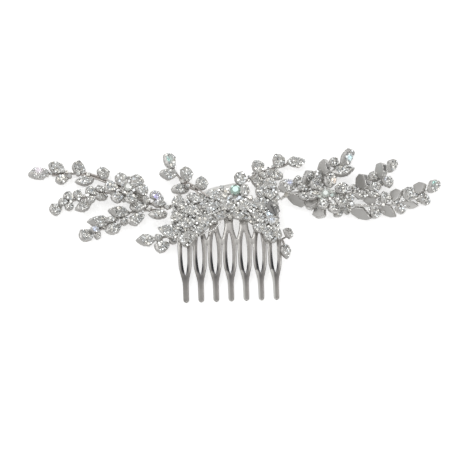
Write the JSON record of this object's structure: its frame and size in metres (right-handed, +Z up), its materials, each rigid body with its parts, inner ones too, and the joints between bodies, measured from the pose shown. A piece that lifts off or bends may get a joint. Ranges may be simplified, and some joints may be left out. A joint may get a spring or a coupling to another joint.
{
  "type": "bridal hair comb",
  "caption": "Split-tooth metal hair comb with a wide decoration of wire sprays, leaf settings, flower heads and clear cut stones along its spine.",
  "frame": {"origin": "on the table top, under the middle of the outline", "axes": "+X along the comb to the right, +Y from the tooth tips towards the spine, +Z up from the table, front of the comb up"},
  "size_m": [0.1646, 0.064, 0.01],
  "materials": {
    "comb_metal": "satin silver-tone plating",
    "setting_metal": "bright silver-tone plating with satin backs",
    "crystal": "clear cut glass"
  },
  "bodies": {
    "root": {"comb": "comb_metal", "upper_left_spray": "setting_metal", "middle_left_spray": "setting_metal", "lower_left_spray": "setting_metal", "left_flower": "setting_metal", "left_branch": "setting_metal", "comb_left_spray": "setting_metal", "upper_spray": "setting_metal", "upper_right_spray": "setting_metal", "comb_right_spray": "setting_metal", "centre_spray": "setting_metal", "right_branch": "setting_metal", "right_flower": "setting_metal", "right_middle_spray": "setting_metal", "right_lower_spray": "setting_metal", "upper_left_stones": "crystal", "middle_left_stones": "crystal", "lower_left_stones": "crystal", "left_flower_stones": "crystal", "left_branch_stones": "crystal", "comb_left_stones": "crystal", "upper_stones": "crystal", "upper_right_stones": "crystal", "comb_right_stones": "crystal", "centre_stones": "crystal", "right_branch_stones": "crystal", "right_flower_stones": "crystal", "right_middle_stones": "crystal", "right_lower_stones": "crystal", "centre_stone": "crystal", "left_flower_stone": "crystal", "right_flower_stone": "crystal"}
  },
  "joints": []
}
